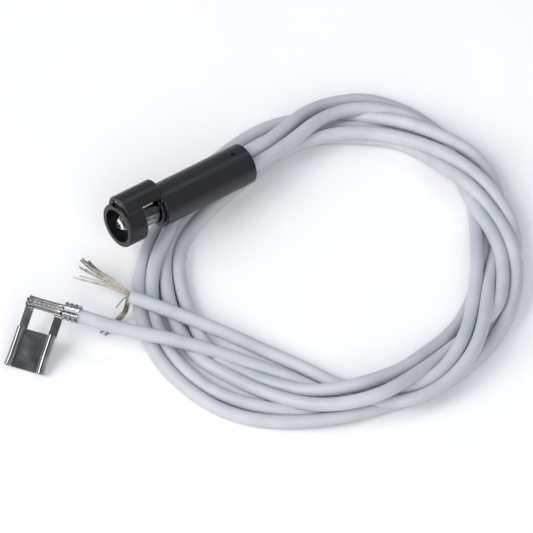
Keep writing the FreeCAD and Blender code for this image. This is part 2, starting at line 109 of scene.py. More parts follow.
# Each cable's turns in the coil: (clock in degrees, lane, level). The clock runs on from lap to
# lap, a lane is one cable width in from the coil's outline, and a level is one cable up.
TURNS_A = (
    (22, 0.5, 0.9), (30, 1.0, 0.8), (38, 1.6, 0.9), (46, 2.3, 1), (56, 3.0, 1), (65, 2.6, 1),
    (73, 2.2, 1), (82, 1.7, 1), (95, 1.1, 1), (105, 0.8, 1), (114, 0.6, 0.9), (122, 1.1, 0.6),
    (131, 1.8, 0.5), (137, 2.0, 0.6), (147, 1.9, 1), (155, 1.9, 1.6), (163, 2.0, 2), (173, 2.3, 2),
    (180, 2.4, 1.8), (188, 2.5, 1.2), (193, 2.7, 0.8), (199, 3.0, 0.3), (206, 3.3, 0), (215, 3.4, 0),
    (224, 3.1, 0), (232, 2.7, 0), (240, 2.5, 0), (250, 2.4, 0), (259, 2.3, 0), (268, 2.0, 0),
    (276, 1.8, 0), (286, 2.0, 0), (300, 2.4, 0), (315, 2.8, 0), (330, 3.0, 0), (345, 3.0, 0),
    (360, 3.0, 0), (373, 3.0, 0), (382, 3.0, 0.2), (390, 3.1, 0.6), (395, 3.2, 1), (404, 3.1, 1.4),
    (414, 2.7, 1.5), (419, 2.4, 1.4), (425, 2.0, 1.3), (434, 1.4, 1.2), (441, 0.9, 1.1), (447, 0.5, 1),
    (454, 0.2, 1), (462, 0.0, 1), (471, -0.1, 0.8), (480, -0.1, 0.3), (490, 0.1, 0), (505, 0.4, 0),
    (520, 1.0, 0), (533, 1.5, 0), (542, 1.2, 0), (550, 0.9, 0), (556, 0.6, 0), (561, 0.4, 0),
    (573, 0.2, 0), (586, 0.3, 0), (603, 0.3, 0), (621, 0.3, 0), (637, 0.5, 0), (650, 0.7, 0),
    (665, 1.0, 0), (678, 1.3, 0), (685, 1.2, 0), (695, 0.9, 0), (708, 0.9, 0), (720, 1.1, 0),
    (728, 1.1, 0), (734, 1.1, 0.7), (740, 1.2, 1.5), (746, 1.3, 1.9), (753, 1.2, 1.6), (759, 1.0, 1.3),
    (767, 0.7, 1.2), (775, 0.6, 1), (782, 0.9, 0.6), (790, 1.4, 0.3), (798, 1.9, 0.3), (808, 2.3, 0.6),
    (815, 2.2, 1), (825, 1.8, 1.3), (833, 1.3, 1.8), (840, 0.9, 2), (847, 0.6, 1.8), (855, 0.3, 1.2),
    (861, 0.2, 1), (867, 0.2, 1), (873, 0.4, 1), (878, 0.7, 1), (882, 1.0, 0.9), (890, 1.9, 0.6),
)
TURNS_B = (
    (19, 0.2, 0), (30, 0.9, 0), (42, 1.5, 0), (55, 2.0, 0), (70, 2.4, 0), (85, 2.7, 0),
    (100, 2.8, 0), (112, 2.7, 0), (122, 2.7, 0.2), (132, 2.9, 0.7), (142, 3.2, 1.2), (152, 3.3, 1.6),
    (161, 3.3, 2), (172, 3.5, 2), (179, 3.7, 1.8), (186, 3.7, 1.5), (191, 3.9, 1), (197, 4.1, 0.5),
    (204, 4.1, 0.3), (212, 4.0, 0.4), (216, 3.9, 0.5), (224, 3.6, 0.5), (232, 3.7, 0.2), (244, 3.7, 0),
    (256, 3.4, 0), (266, 3.0, 0), (276, 2.8, 0), (286, 2.7, 0), (300, 3.2, 0), (315, 3.7, 0),
    (330, 3.6, 0.6), (345, 3.1, 1), (360, 3.0, 1), (373, 2.9, 1), (382, 2.8, 1.2), (392, 2.5, 1.7),
    (401, 2.1, 2), (412, 1.6, 2), (421, 1.1, 1.8), (429, 0.7, 1.3), (439, 0.5, 0.6), (447, 0.4, 0),
    (460, 0.6, 0), (472, 0.7, 0), (482, 0.8, 0), (492, 1.0, 0), (505, 1.2, 0), (520, 1.8, 0),
    (533, 2.3, 0), (542, 1.9, 0), (550, 1.7, 0), (557, 1.8, 0), (563, 1.7, 0), (572, 1.4, 0),
    (579, 1.2, 0), (586, 1.0, 0.2), (593, 0.9, 0.4), (608, 1.0, 0.4), (624, 1.1, 0.4), (632, 1.3, 0.7),
    (642, 1.6, 0.9), (652, 1.8, 0.5), (665, 2.0, 0), (680, 2.1, 0), (695, 2.0, 0), (708, 2.1, 0),
    (720, 2.2, 0), (726, 2.1, 0), (738, 1.9, 0), (750, 2.0, 0), (762, 2.3, 0), (775, 2.6, 0),
    (788, 2.9, 0), (801, 3.1, 0.3), (816, 3.1, 0.8), (826, 2.7, 1.3), (833, 2.4, 1.5), (841, 1.9, 1.7),
    (849, 1.6, 1.7), (857, 1.3, 1.2), (864, 1.1, 1), (871, 1.0, 1), (876, 1.2, 1), (883, 2.0, 0.8),
    (889, 2.9, 0.4),
)

# The bare strands in groups: (number, spread at the tips in metres, route in metres)
STRAND_GROUPS = (
    (8, 0.0007, ((0.0057, 0.0136, -0.0062), (0.0064, 0.0110, -0.0060), (0.0071, 0.0068, -0.0058),
                 (0.0077, 0.0026, -0.0062), (0.0078, -0.0023, -0.0068))),
    (3, 0.0006, ((0.0058, 0.0136, -0.0063), (0.0066, 0.0105, -0.0062), (0.0078, 0.0060, -0.0063),
                 (0.0088, 0.0020, -0.0068), (0.0093, -0.0016, -0.0073))),
    (3, 0.0008, ((0.0058, 0.0136, -0.0063), (0.0068, 0.0105, -0.0063), (0.0086, 0.0062, -0.0065),
                 (0.0103, 0.0030, -0.0070), (0.0114, 0.0004, -0.0075))),
    (7, 0.0007, ((0.0058, 0.0137, -0.0064), (0.0066, 0.0125, -0.0067), (0.0074, 0.0130, -0.0078),
                 (0.0084, 0.0134, -0.0091), (0.0102, 0.0136, -0.0100), (0.0124, 0.0140, -0.0104),
                 (0.0149, 0.0141, -0.0108))),
    (1, 0.0, ((0.0058, 0.0136, -0.0063), (0.0072, 0.0120, -0.0063), (0.0090, 0.0121, -0.0070),
              (0.0117, 0.0126, -0.0082))),
)

# How the cables settle
PULL_ASIDE = 0.06  # share of the way back to a point's own place, across the line of sight
PULL_DEEP = 0.01  # the same along the line of sight
SINK = 0.01  # how far a point sinks in a round, in cable radii
EVEN_OUT = 0.06  # share of the fourth difference that a round takes out
OPEN_UP = 0.6  # share of a sag past its limit that a round takes out
PUSH_APART = 0.35  # share of the overlap by which each of two points moves off
PUSHES = 3  # pushes in a round
LOOK_AGAIN = 10  # rounds from one search for points that may touch to the next
NEAR = 1.6  # diameters within which two points may come to touch
BESIDE = 6  # steps along one cable within which its points never push
REACH = 3  # steps to each side over which a sag is measured
KEEP_EVERY = 3  # one settled point in so many goes to the spline

SUNFLOWER = 2.4  # radians from one strand to the next in a sunflower disc

# The view, in metres, and the sensor in millimetres
VIEW_MIDDLE = Vector((-0.02046, 0.02404, -0.00537))
VIEW_SIGHT = Vector((0.3949, 0.5072, 0.7660))  # towards the camera, 50 degrees up
VIEW_FAR = 2.4  # from the middle to the camera
VIEW_WIDTH = 0.11035  # taken in across the picture, at the middle
SENSOR = 36

# The lamps: name, place from the view's middle in metres, size in metres, power in watts, colour
LAMPS = (
    ("key", (0.9, -0.3, 0.8), 0.9, 11.4, "#FFFDFA"),
    ("fill", (0.5, 0.9, 0.8), 0.9, 6.5, "#FFFFFF"),
    ("streak", (-0.5, -0.1, 1.0), 0.3, 1.1, "#D2E0FF"),
)

# The studio's shades by the height of the way they lie, level at 0 and straight up at 1
SKY = ((0.0, "#AEB1B5"), (0.3, "#FBFCFF"), (0.75, "#F8FBFF"), (0.95, "#8C949E"))
SKY_STRENGTH = 0.58


# Colours


def linear(colour):
    """The linear colour, with alpha, of an sRGB hex text: each channel by the sRGB curve."""
    channels = [int(colour[i:i + 2], 16) / 255 for i in (1, 3, 5)]
    return [c / 12.92 if c <= 0.04045 else ((c + 0.055) / 1.055) ** 2.4 for c in channels] + [1.0]


def tint(name, description, colour):
    """A colour setting whose default is an sRGB hex text."""
    return FloatVectorProperty(
        name=name, description=description, subtype="COLOR", size=4, min=0, max=1,
        default=linear(colour))


# Settings


class ProbeColours(bpy.types.PropertyGroup):
    """The darker and lighter colour of each finish that shows outside"""

    silicone_dark: tint("Cable, dark", "Darker clouds of the cables' silicone", "#B1B5BB")
    silicone_light: tint("Cable, light", "Lighter clouds of the cables' silicone", "#C4C6CA")
    moulding_dark: tint("Moulding, dark", "Darker clouds of the black moulding", "#07090C")
    moulding_light: tint("Moulding, light", "Lighter clouds of the black moulding", "#0F1115")
    brass_dark: tint("Receptacle, dark", "Darker clouds of the tin-plated brass", "#8B8D90")
    brass_light: tint("Receptacle, light", "Lighter clouds of the tin-plated brass", "#AEAFAE")
    copper_dark: tint("Strands, dark", "Darker clouds of the tinned copper", "#75716B")
    copper_light: tint("Strands, light", "Lighter clouds of the tinned copper", "#97938C")


class ProbeCoil(bpy.types.PropertyGroup):
    """The oval that the cables are coiled to, and how they settle"""

    centre: FloatVectorProperty(
        name="Centre", description="Middle of the coil on the floor", size=2, subtype="TRANSLATION",
        unit="LENGTH", default=(-0.0333, 0.0287))
    half_length: FloatProperty(
        name="Half length", description="Long half axis, to the outermost cable's middle",
        unit="LENGTH", default=0.0459)
    half_width: FloatProperty(
        name="Half width", description="Short half axis, to the outermost cable's middle",
        unit="LENGTH", default=0.0390)
    long_clock: FloatProperty(
        name="Long axis", description="Clock angle of the long axis", subtype="ANGLE",
        default=math.radians(24))
    far_heading: FloatVectorProperty(
        name="Twelve o'clock", description="Where the clock starts from, across the floor", size=2,
        default=(-0.614, -0.789))
    level_rise: FloatProperty(
        name="Level rise", description="Height from one layer of cable to the next",
        unit="LENGTH", default=0.0025)
    level_lean: FloatProperty(
        name="Level lean", description="How far a raised cable sits forward for each unit of height",
        default=0.84)
    rounds: IntProperty(name="Rounds", description="How long the cables settle", default=260)
    step: FloatProperty(
        name="Step", description="Distance between settling points", unit="LENGTH", default=0.0024)
    tightest: FloatProperty(
        name="Tightest bend", description="Radius that no bend is drawn tighter than",
        unit="LENGTH", default=0.0168)


class ProbeCable(bpy.types.PropertyGroup):
    """The cables' sizes"""

    radius: FloatProperty(
        name="Radius", description="Outside radius of the insulation", unit="LENGTH", default=0.00145)
    length_a: FloatProperty(
        name="Length A", description="Length of the cable with the receptacle", unit="LENGTH",
        default=0.70)
    length_b: FloatProperty(
        name="Length B", description="Length of the cable with the bare strands", unit="LENGTH",
        default=0.655)


class ProbeGlass(bpy.types.PropertyGroup):
    """The sensor tube's glass"""

    radius: FloatProperty(
        name="Radius", description="Outside radius of the tube", unit="LENGTH", default=0.0029)
    wall: FloatProperty(
        name="Wall", description="Thickness of the glass", unit="LENGTH", default=0.0004)
    front: FloatProperty(
        name="Front", description="Where the dome starts behind the hood's face", unit="LENGTH",
        default=0.0006)
    back: FloatProperty(
        name="Back", description="Where the tube ends behind the hood's face", unit="LENGTH",
        default=0.0220)
    pip_height: FloatProperty(
        name="Pip height", description="How far the drawn tip stands out", unit="LENGTH",
        default=0.0006)
    pip_width: FloatProperty(
        name="Pip width", description="Radius at which the drawn tip has faded", unit="LENGTH",
        default=0.0008)


class ProbeFlag(bpy.types.PropertyGroup):
    """The flag receptacle, in its own frame: its cable comes in along +X and its mouth is at -Y"""

    tilt: FloatProperty(
        name="Tilt", description="Turn about its own X", subtype="ANGLE", default=math.radians(26.5))
    heading: FloatProperty(
        name="Heading", description="Turn about Z", subtype="ANGLE", default=math.radians(121.9))
    sheet: FloatProperty(
        name="Sheet", description="Thickness of the brass", unit="LENGTH", default=0.0004)
    left: FloatProperty(
        name="Left", description="Outer edge of the far rolled side", unit="LENGTH", default=-0.0088)
    right: FloatProperty(
        name="Right", description="Outer edge of the near rolled side", unit="LENGTH", default=-0.0003)
    floor: FloatProperty(
        name="Floor", description="Height of the middle of the floor sheet", unit="LENGTH",
        default=-0.00165)
    drop: FloatProperty(
        name="Drop", description="From the barrel's line to the rolled sides", unit="LENGTH",
        default=0.0056)
    length: FloatProperty(
        name="Length", description="Length of the rolled sides", unit="LENGTH", default=0.0084)
    roll: FloatProperty(
        name="Roll", description="Middle radius of a rolled side", unit="LENGTH", default=0.00065)
    mouth_opening: FloatProperty(
        name="Mouth opening", description="How far each rolled side has moved out at the mouth",
        unit="LENGTH", default=0.00018)
    dimple_height: FloatProperty(
        name="Dimple height", description="How far the floor's dimple stands up", unit="LENGTH",
        default=0.00005)
    dimple_width: FloatProperty(
        name="Dimple width", description="Radius at which the dimple has faded", unit="LENGTH",
        default=0.0012)
    leg_width: FloatProperty(
        name="Leg width", description="Width of the two legs beside the window", unit="LENGTH",
        default=0.0020)
    spine_width: FloatProperty(
        name="Spine width", description="Width of the strip under the barrel", unit="LENGTH",
        default=0.0018)
    spine_end: FloatProperty(
        name="Spine end", description="Where the strip under the barrel ends, towards the cable",
        unit="LENGTH", default=0.0012)
    barrel_start: FloatProperty(
        name="Barrel start", description="The barrel's end away from the cable", unit="LENGTH",
        default=-0.0078)
    barrel_end: FloatProperty(
        name="Barrel end", description="The barrel's end next to the cable", unit="LENGTH",
        default=-0.0006)
    barrel_half_width: FloatProperty(
        name="Barrel half width", description="Half the crimped barrel's width", unit="LENGTH",
        default=0.00118)
    barrel_half_height: FloatProperty(
        name="Barrel half height", description="Half the crimped barrel's height", unit="LENGTH",
        default=0.00145)
    barrel_drop: FloatProperty(
        name="Barrel drop", description="How far the barrel's middle lies under the cable's",
        unit="LENGTH", default=0.0004)
    fold_depth: FloatProperty(
        name="Fold depth", description="Depth of the fold where the barrel's wings meet",
        unit="LENGTH", default=0.00055)
    fold_width: FloatProperty(
        name="Fold width", description="Distance at which the fold has faded", unit="LENGTH",
        default=0.00032)
    grip_length: FloatProperty(
        name="Grip length", description="Length of the insulation grip", unit="LENGTH",
        default=0.0032)
    grip_pitch: FloatProperty(
        name="Grip pitch", description="From one ring of the grip to the next", unit="LENGTH",
        default=0.00107)
    grip_ring: FloatProperty(
        name="Grip ring", description="How far a ring of the grip stands out", unit="LENGTH",
        default=0.0001)
    grip_fold: FloatProperty(
        name="Grip fold", description="How far the grip's two edges fold in", unit="LENGTH",
        default=0.0003)


class ProbeStrands(bpy.types.PropertyGroup):
    """The bare wires"""

    radius: FloatProperty(
        name="Radius", description="Radius of one strand", unit="LENGTH", default=0.00014)
    bundle: FloatProperty(
        name="Bundle", description="Radius of the bundle at the insulation's end", unit="LENGTH",
        default=0.00052)
    step: FloatProperty(
        name="Step", description="Distance between a strand's rings", unit="LENGTH", default=0.0004)
    wave: FloatProperty(
        name="Wave", description="How far a strand waves at its tip", unit="LENGTH", default=0.00012)
    conductor: FloatProperty(
        name="Conductor", description="Radius of the conductor bared in the barrel", unit="LENGTH",
        default=0.00065)
    lobe: FloatProperty(
        name="Lobe", description="Share of the conductor's radius that its lobes take",
        subtype="FACTOR", default=0.14)


# Small helpers


def add_node(tree, kind, options=None, values=None, links=None):
    """Add a shader node with its options, the values of its inputs and the links into them."""
    made = tree.nodes.new(kind)
    for name, value in (options or {}).items():
        setattr(made, name, value)
    for name, value in (values or {}).items():
        made.inputs[name].default_value = value
    for name, source in (links or {}).items():
        tree.links.new(source, made.inputs[name])
    return made


def in_probe(back, side=0.0, height=0.0):
    """A point of the probe's own frame, turned nose up about the centre of the hood's face."""
    point = np.stack(np.broadcast_arrays(-np.asarray(back), side, height), axis=-1)
    cos, sin = math.cos(NOSE_TILT), math.sin(NOSE_TILT)
    turn = np.array([[cos, 0, -sin], [0, 1, 0], [sin, 0, cos]])
    return point @ turn.T


def turned(points, angle, axis):
    """Points turned by an angle about one of the axes X, Y or Z."""
    return points @ np.array(Matrix.Rotation(angle, 3, axis)).T


def closed_tubes(name, shapes, material):
    """Closed tubes in one mesh. Each shape is an array of rings (ring, around, 3): each ring joins
    the next and closes on itself, and the first and last rings are capped."""
    points, faces = [], []
    start = 0
    for rings in shapes:
        count, around = rings.shape[:2]
        grid = np.arange(count * around).reshape(count, around)
        beside = np.roll(grid, -1, axis=1)
        walls = np.stack([grid[:-1], beside[:-1], beside[1:], grid[1:]], axis=-1).reshape(-1, 4)
        flat = rings.reshape(-1, 3) - rings.reshape(-1, 3).mean(axis=0)
        one, two, three, four = (flat[walls[:, k]] for k in range(4))
        volume = np.einsum("ij,ij->", one, np.cross(two, three))
        volume += np.einsum("ij,ij->", one, np.cross(three, four))
        for ring, way in ((flat[:around], -1), (flat[-around:], 1)):
            volume += way * np.einsum("j,ij->", ring[0], np.cross(ring, np.roll(ring, -1, axis=0)))
        shell = walls.tolist() + [grid[0, ::-1].tolist(), grid[-1].tolist()]
        if volume < 0:
            shell = [face[::-1] for face in shell]
        faces += [[start + index for index in face] for face in shell]
        points.append(rings.reshape(-1, 3))
        start += count * around
    mesh = bpy.data.meshes.new(name)
    mesh.from_pydata(np.vstack(points).tolist(), [], faces)
    mesh.update()
    mesh.polygons.foreach_set("use_smooth", np.ones(len(mesh.polygons), bool))
    mesh.set_sharp_from_angle(angle=math.radians(38))
    mesh.materials.append(material)
    piece = bpy.data.objects.new(name, mesh)
    bpy.context.scene.collection.objects.link(piece)
    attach(piece, BODY)
    return piece


# Cables in the coil


def coil_place(coil, radius, turns):
    """Points of the coil: an ellipse's polar radius, less the lane, at each clock angle, raised by
    the level and moved forward by the lean."""
    clock, lane, level = np.array(turns, float).T
    angle = np.radians(clock)
    from_long = angle - coil.long_clock
    oval = coil.half_length * coil.half_width / np.hypot(
        coil.half_width * np.cos(from_long), coil.half_length * np.sin(from_long))
    reach = oval - 2 * radius * lane
    rise = coil.level_rise * level
    away = np.array(coil.far_heading)
    right = np.array([away[1], -away[0]])
    across = np.outer(reach * np.sin(angle), right)
    along = np.outer(reach * np.cos(angle) - coil.level_lean * rise, away)
    flat = np.array(coil.centre) + across + along
    return np.column_stack([flat, FLOOR + radius + rise])


def even(points, step):
    """The same line with points an even step apart, by a Hermite cubic between its points."""
    run = np.concatenate([[0], np.cumsum(np.linalg.norm(np.diff(points, axis=0), axis=1))])
    at = np.linspace(0, run[-1], int(round(run[-1] / step)) + 1)
    slope = np.gradient(points, run, axis=0)
    i = np.clip(np.searchsorted(run, at) - 1, 0, len(run) - 2)
    gap = (run[i + 1] - run[i])[:, None]
    u = (at - run[i])[:, None] / gap
    start = (2 * u ** 3 - 3 * u ** 2 + 1) * points[i] + (u ** 3 - 2 * u ** 2 + u) * gap * slope[i]
    end = (3 * u ** 2 - 2 * u ** 3) * points[i + 1] + (u ** 3 - u ** 2) * gap * slope[i + 1]
    return start + end, at / run[-1]


def settle(coil, radius, cables):
    """Let the turns of several cables come to rest on each other.

    Each round draws every point towards its own place, mostly across the line of sight from the
    front, evens out bends by the fourth difference along the cable, opens any bend whose sag over
    three steps is more than the tightest bend allows, lets the cable sink a little, and then pushes
    apart points that are nearer than one diameter. The leads and tails hold still.
    """
    width = 2 * radius
    lines, loose = [], []
    for lead, turns, tail in cables:
        whole = np.vstack([lead, coil_place(coil, radius, turns), tail])
        run = np.concatenate([[0], np.cumsum(np.linalg.norm(np.diff(whole, axis=0), axis=1))])
        line, share = even(whole, coil.step)
        first, last = run[len(lead) - 1] / run[-1], run[-len(tail)] / run[-1]
        lines.append(line)
        loose.append((share > first) & (share < last))
    starts = np.cumsum([0] + [len(line) for line in lines])
    home = np.vstack(lines)
    place = home.copy()
    free = np.concatenate(loose).astype(float)[:, None]
    number = np.arange(len(place))
    cable = np.searchsorted(starts, number, side="right")
    same = (cable[:, None] == cable[None, :]) & (abs(number[:, None] - number[None, :]) < BESIDE)
    away = np.array([*coil.far_heading, 0.0])
    sight = np.array([0, 0, 1.0]) - away * coil.level_lean
    sight /= np.linalg.norm(sight)
    nose = in_probe(0.0)
    axis = in_probe(1.0) - nose
    probe_low, probe_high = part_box("body_tube")
    probe_reach = (probe_high.y - probe_low.y) / 2 + radius
    probe_length = nose[0] - probe_low.x
    most = (REACH * coil.step) ** 2 / (2 * coil.tightest)
    for turn in range(coil.rounds):
        if turn % LOOK_AGAIN == 0:
            apart = np.linalg.norm(place[:, None, :] - place[None, :, :], axis=2)
            one, other = np.nonzero(np.triu((apart < NEAR * width) & ~same, 1))
        off = home - place
        deep = (off @ sight)[:, None] * sight
        place += free * (PULL_ASIDE * (off - deep) + PULL_DEEP * deep)
        place[:, 2] -= SINK * radius * free[:, 0]
        for low, high in zip(starts, starts[1:]):
            line = place[low:high]
            bend = np.zeros_like(line)
            bend[2:-2] = line[:-4] - 4 * line[1:-3] + 6 * line[2:-2] - 4 * line[3:-1] + line[4:]
            line -= EVEN_OUT * bend * free[low:high]
            sag = (line[:-2 * REACH] + line[2 * REACH:]) / 2 - line[REACH:-REACH]
            over = 1 - most / np.maximum(np.linalg.norm(sag, axis=1, keepdims=True), most)
            line[REACH:-REACH] += OPEN_UP * over * sag * free[low:high][REACH:-REACH]
        for _ in range(PUSHES):
            between = place[one] - place[other]
            far = np.linalg.norm(between, axis=1, keepdims=True)
            push = PUSH_APART * between * np.clip(width / far - 1, 0, None)
            np.add.at(place, one, push * free[one])
            np.add.at(place, other, -push * free[other])
        back = np.clip((place - nose) @ axis, 0, probe_length)
        out = place - nose - back[:, None] * axis
        far = np.linalg.norm(out, axis=1, keepdims=True)
        place += free * out / far * np.clip(probe_reach - far, 0, None)
        place[:, 2] = np.maximum(place[:, 2], FLOOR + radius)
    return [place[low:high][keep] for low, high, keep in zip(starts, starts[1:], loose)]


def cable_curve(name, points, radius, material):
    """A round cable along an open spline with these control points."""
    curve = bpy.data.curves.new(name, "CURVE")
    curve.dimensions = "3D"
    curve.bevel_depth = radius
    curve.bevel_resolution = 5
    curve.use_fill_caps = True
    curve.resolution_u = 6
    spline = curve.splines.new("NURBS")
    spline.points.add(len(points) - 1)
    flat = np.column_stack([points, np.ones(len(points))])
    spline.points.foreach_set("co", flat.ravel())
    spline.order_u = 3
    spline.use_endpoint_u = True
    curve.materials.append(material)
    piece = bpy.data.objects.new(name, curve)
    bpy.context.scene.collection.objects.link(piece)
    return piece


# Finishes

# The noise's low and high values, between which clouds run from one colour to the other
CLOUD_RANGE = (0.3, 0.7)


def surface(name, dark, light, cloud, dull, grain, depth, stretch=(1, 1, 1), **fixed):
    """A node material of two patterns.

    Clouds of a size in mm run from the dark to the light linear colour and from the low to the
    high roughness. A finer grain, of a size and a depth in mm, lifts the surface. The stretch draws
    both out along the axes, and the fixed values go to the shader's inputs by name.
    """
    material = bpy.data.materials.new(name)
    material.use_nodes = True
    tree = material.node_tree
    shader = tree.nodes["Principled BSDF"]
    where = add_node(tree, "ShaderNodeTexCoord").outputs["Object"]
    drawn = add_node(tree, "ShaderNodeVectorMath", {"operation": "MULTIPLY"}, {1: stretch}, {0: where})
    fog = add_node(tree, "ShaderNodeTexNoise", values={"Scale": 1 / (cloud * MM), "Detail": 5},
                   links={"Vector": drawn.outputs["Vector"]})
    blend = add_node(tree, "ShaderNodeValToRGB", links={"Fac": fog.outputs["Fac"]})
    for stop, place, colour in zip(blend.color_ramp.elements, CLOUD_RANGE, (dark, light)):
        stop.position = place
        stop.color = colour
    sheen = add_node(tree, "ShaderNodeMapRange", links={"Value": fog.outputs["Fac"]}, values={
        "From Min": CLOUD_RANGE[0], "From Max": CLOUD_RANGE[1], "To Min": dull[0], "To Max": dull[1]})
    fine = add_node(tree, "ShaderNodeTexNoise", values={"Scale": 1 / (grain * MM), "Detail": 3},
                    links={"Vector": drawn.outputs["Vector"]})
    bump = add_node(tree, "ShaderNodeBump", values={"Strength": 1.0, "Distance": depth * MM},
                    links={"Height": fine.outputs["Fac"]})
    tree.links.new(blend.outputs["Color"], shader.inputs["Base Color"])
    tree.links.new(sheen.outputs["Result"], shader.inputs["Roughness"])
    tree.links.new(bump.outputs["Normal"], shader.inputs["Normal"])
    for socket, value in fixed.items():
        shader.inputs[socket.replace("_", " ")].default_value = value
    return material


def extruded_silicone():
    """Extruded silicone rubber, light grey and satin. It lets a little light in at its edges."""
    colours = bpy.context.scene.probe_colours
    return surface("extruded_silicone", colours.silicone_dark, colours.silicone_light, 8, (0.34, 0.5),
                   0.15, 0.004, IOR=1.41, Subsurface_Weight=0.15, Subsurface_Radius=(0.6, 0.6, 0.7),
                   Subsurface_Scale=0.001)


def moulded_polyamide():
    """Injection-moulded polyamide, black, with the fine grain of a spark-eroded mould."""
    colours = bpy.context.scene.probe_colours
    return surface("moulded_polyamide", colours.moulding_dark, colours.moulding_light, 3, (0.28, 0.40),
                   0.12, 0.006, IOR=1.5)


def nickel_plated_spring_steel():
    """Rolled spring strip with bright nickel plate. Its lines run along the strip."""
    return surface("nickel_plated_spring_steel", linear("#B5ADA0"), linear("#D6D0C6"),
                   0.8, (0.16, 0.32), 0.1, 0.003, stretch=(0.15, 1, 1), Metallic=1.0)


def drawn_glass():
    """Drawn glass tube, clear, with faint ripples along its length."""
    return surface("drawn_glass", linear("#EEF5F8"), linear("#FCFEFF"),
                   2, (0.0, 0.03), 1.2, 0.004, stretch=(0.2, 1, 1), IOR=1.5, Transmission_Weight=1.0)


def nickel_sheet():
    """Stamped nickel, dull where it has been annealed."""
    return surface("nickel_sheet", linear("#8F8A83"), linear("#B9B4AC"),
                   0.7, (0.25, 0.45), 0.08, 0.003, Metallic=1.0)


def moulded_silicone():
    """Moulded silicone ring, cloudy white, which lets some light in."""
    return surface("moulded_silicone", linear("#D5D4CE"), linear("#E6E5E0"),
                   1.5, (0.4, 0.55), 0.15, 0.006, IOR=1.41, Subsurface_Weight=0.25, Subsurface_Scale=0.001)


def moulded_phenolic():
    """Pressed phenolic resin, dark brown, with mineral filler showing as specks."""
    return surface("moulded_phenolic", linear("#2B211C"), linear("#40332B"),
                   0.3, (0.45, 0.6), 0.1, 0.008, IOR=1.6)


def shrunk_polyolefin():
    """Heat-shrunk polyolefin sleeve, black, a little rippled from the heat."""
    return surface("shrunk_polyolefin", linear("#151617"), linear("#1F2022"),
                   1, (0.4, 0.55), 0.6, 0.03, IOR=1.5)


def moulded_rubber():
    """Moulded rubber, matt black with a bloom of grey."""
    return surface("moulded_rubber", linear("#121213"), linear("#242527"),
                   1.2, (0.6, 0.8), 0.12, 0.01, IOR=1.52)


def tin_plated_brass():
    """Stamped brass sheet with bright tin plate. Its roll lines and handling marks show."""
    colours = bpy.context.scene.probe_colours
    return surface("tin_plated_brass", colours.brass_dark, colours.brass_light, 2.5, (0.08, 0.16),
                   0.3, 0.003, stretch=(1, 0.5, 1), Metallic=1.0)


def tinned_copper():
    """Drawn copper wire with a tin coat that has dulled."""
    colours = bpy.context.scene.probe_colours
    return surface("tinned_copper", colours.copper_dark, colours.copper_light, 0.8, (0.22, 0.38),
                   0.05, 0.002, Metallic=1.0)


def pale_paper():
    """Uncoated white paper roll, matt, with a faint tooth."""
    return surface("pale_paper", linear("#F3F3F4"), linear("#F7F7F7"), 40, (0.85, 0.95), 0.5, 0.002)


# The model's own pieces that keep their mesh, by finish
KEPT_PIECES = {
    moulded_polyamide: ("body_tube", "view_head", "rear_plug_pin", "clip_pin"),
    nickel_plated_spring_steel: ("retaining_clip",),
    drawn_glass: ("bulb_stem",),
    nickel_sheet: ("cathode_plate", "anode_plate", "lead_in_pins", "crimp_sleeves"),
    moulded_silicone: ("bulb_cushion",),
    moulded_phenolic: ("tube_socket",),
    shrunk_polyolefin: ("insulating_sleeves",),
    moulded_rubber: ("rear_plug",),
    tinned_copper: ("inner_conductors",),
}


class PROBE_OT_finishes(bpy.types.Operator):
    """Give the model's own pieces their finishes"""

    bl_idname = "probe.finishes"
    bl_label = "Finishes"

    def execute(self, context):
        for finish, names in KEPT_PIECES.items():
            material = finish()
            for name in names:
                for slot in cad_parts[name].material_slots:
                    slot.material = material
        return {"FINISHED"}


class PROBE_OT_glass(bpy.types.Operator):
    """Build the sensor tube's glass.

    A profile turned about the probe's axis: a quarter circle and a straight line outside, and the
    same less the wall inside. The drawn tip adds a bell curve of the radius at the very front.
    """

    bl_idname = "probe.glass"
    bl_label = "Glass"

    def execute(self, context):
        glass = context.scene.probe_glass
        pole = 0.01  # the first ring stays this far off the axis, in radians, and is capped
        angle = np.linspace(pole, math.pi / 2, 40)
        middle = glass.front + glass.radius

        def shell(radius, pip):
            reach = radius * np.sin(angle)
            back = middle - radius * np.cos(angle) - pip * np.exp(-(reach / glass.pip_width) ** 2)
            straight = np.linspace(middle, glass.back, 20)[1:]
            return np.concatenate([back, straight]), np.concatenate([reach, 0 * straight + radius])

        outer = shell(glass.radius, glass.pip_height)
        inner = shell(glass.radius - glass.wall, 0)
        back, reach = (np.concatenate([out, into[::-1]])[:, None] for out, into in zip(outer, inner))
        around = np.linspace(0, 2 * math.pi, 64, endpoint=False)
        rings = in_probe(back, reach * np.cos(around), reach * np.sin(around))
        piece = closed_tubes("sensor_glass", [rings], drawn_glass())
        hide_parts("bulb_glass")
        return {"FINISHED"}


def strip_section(width, thick, count=28):
    """A flat strip's outline: a superellipse of power 8, as (across, up) points."""
    angle = np.linspace(0, 2 * math.pi, count, endpoint=False)
    cos, sin = np.cos(angle), np.sin(angle)
    return np.column_stack([
        width / 2 * np.sign(cos) * abs(cos) ** 0.25, thick / 2 * np.sign(sin) * abs(sin) ** 0.25])


def wall_section(line, thick):
    """The outline of a sheet bent along a line, or of each of several: the line moved half a
    thickness to each side."""
    step = np.gradient(line, axis=-2)
    normal = np.stack([-step[..., 1], step[..., 0]], -1) / np.linalg.norm(step, axis=-1, keepdims=True)
    one, other = line + normal * thick / 2, line - normal * thick / 2
    return np.concatenate([one, other[..., ::-1, :]], axis=-2)


